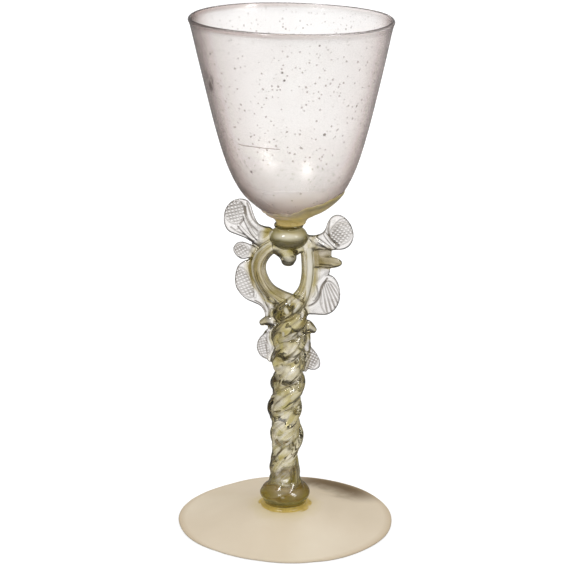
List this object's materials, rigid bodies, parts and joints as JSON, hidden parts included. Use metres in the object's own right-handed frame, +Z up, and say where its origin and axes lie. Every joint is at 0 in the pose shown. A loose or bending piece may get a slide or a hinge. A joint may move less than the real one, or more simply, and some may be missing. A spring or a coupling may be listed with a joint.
{
  "type": "winged goblet",
  "caption": "Tall conical glass bowl on a ball knop, over a rope-twisted stem that opens into a heart-shaped loop with pincered wings, on a wide low foot.",
  "frame": {"origin": "on the table, under the middle of the foot", "axes": "+Z up along the stem, +X to the right of the heart-shaped loop as seen from the front, -Y to the front"},
  "size_m": [0.0772, 0.0772, 0.1815],
  "materials": {
    "bowl_glass": "thin clear glass with a faint mauve-grey tint, many small dark specks and a few bubbles",
    "stem_glass": "thick glossy glass with an olive-yellow tint and flowing inner streaks",
    "clear_glass": "colourless glossy glass, pincered with a fine waffle relief",
    "foot_glass": "smooth clouded beige glass",
    "resin": "old yellowed repair resin, glossy and uneven"
  },
  "bodies": {
    "root": {"ball_knop": "stem_glass", "bowl": "bowl_glass", "bowl_resin": "resin", "collar": "stem_glass", "foot": "foot_glass", "foot_knop": "stem_glass", "foot_resin": "resin", "left_crest": "clear_glass", "left_lower_crest": "clear_glass", "left_lower_wing": "clear_glass", "left_middle_wing": "clear_glass", "left_shoulder": "stem_glass", "left_small_wing": "clear_glass", "left_spur": "clear_glass", "left_strand": "stem_glass", "left_upper_wing": "clear_glass", "neck": "resin", "pendant_drop": "stem_glass", "pendant_pad": "stem_glass", "pontil_scar": "foot_glass", "right_crest": "clear_glass", "right_leaf": "clear_glass", "right_lower_crest": "clear_glass", "right_lower_web": "clear_glass", "right_lower_wing": "clear_glass", "right_middle_wing": "clear_glass", "right_shoulder": "stem_glass", "right_spur": "clear_glass", "right_strand": "stem_glass", "right_upper_web": "clear_glass", "right_upper_wing": "clear_glass"}
  },
  "joints": []
}
